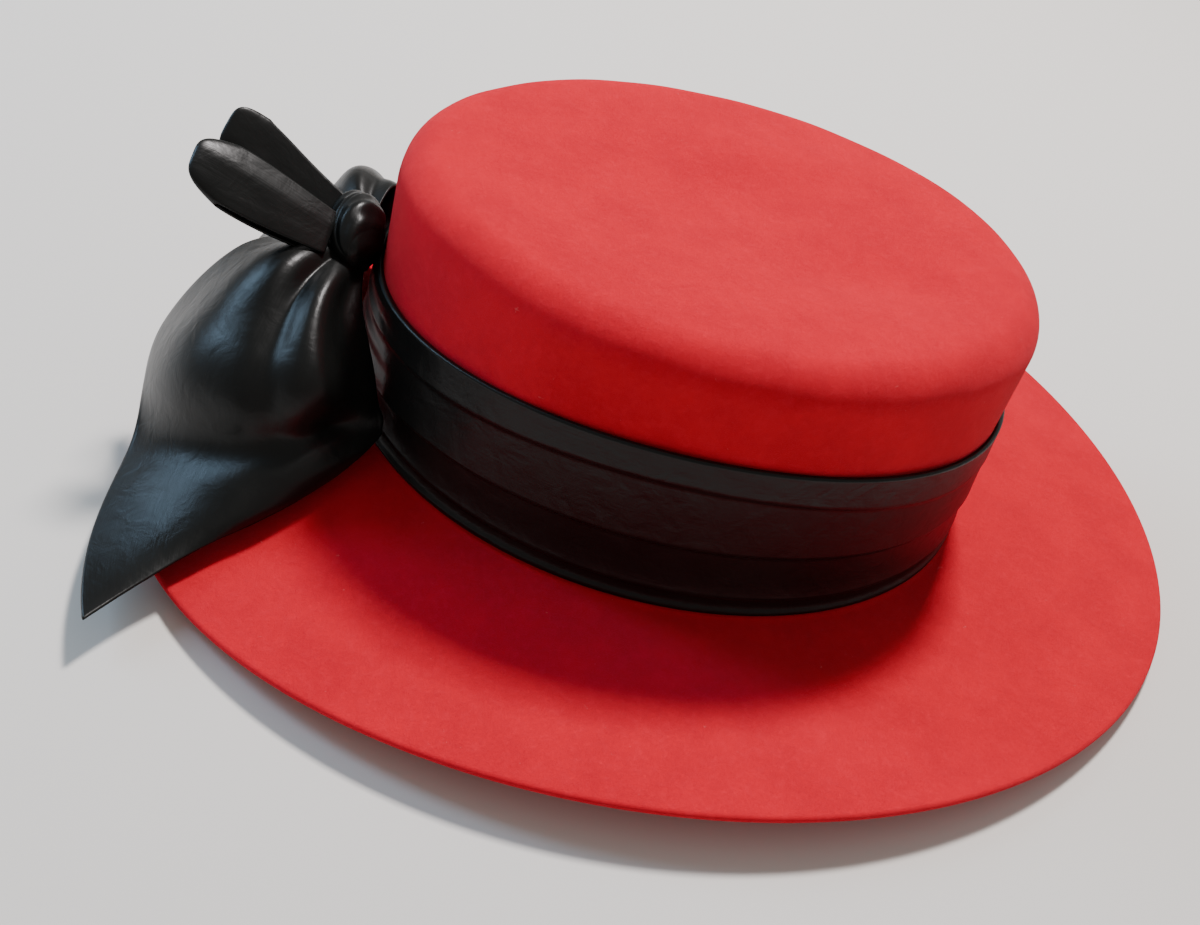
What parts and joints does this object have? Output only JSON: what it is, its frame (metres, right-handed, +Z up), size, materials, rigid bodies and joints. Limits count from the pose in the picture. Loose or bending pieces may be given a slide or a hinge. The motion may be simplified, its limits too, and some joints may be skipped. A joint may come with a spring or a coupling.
{
  "type": "wide brim hat",
  "caption": "Felt hat with a flat-topped oval crown, a wide oval brim and a pleated satin band tied in a bow at the back.",
  "frame": {"origin": "middle of the hat's footprint on the table, under the brim", "axes": "+Z up out of the crown's top, +X towards the front of the hat, away from the bow, +Y to the wearer's left"},
  "size_m": [0.353, 0.318, 0.1046],
  "materials": {
    "felt": "matt wool felt, bright red",
    "satin": "black satin with a soft sheen"
  },
  "bodies": {
    "root": {"felt_body": "felt", "hat_band": "satin", "bow_knot": "satin", "bow_ear_near": "satin", "bow_ear_far": "satin", "bow_tail_near": "satin", "bow_tail_far": "satin"}
  },
  "joints": []
}
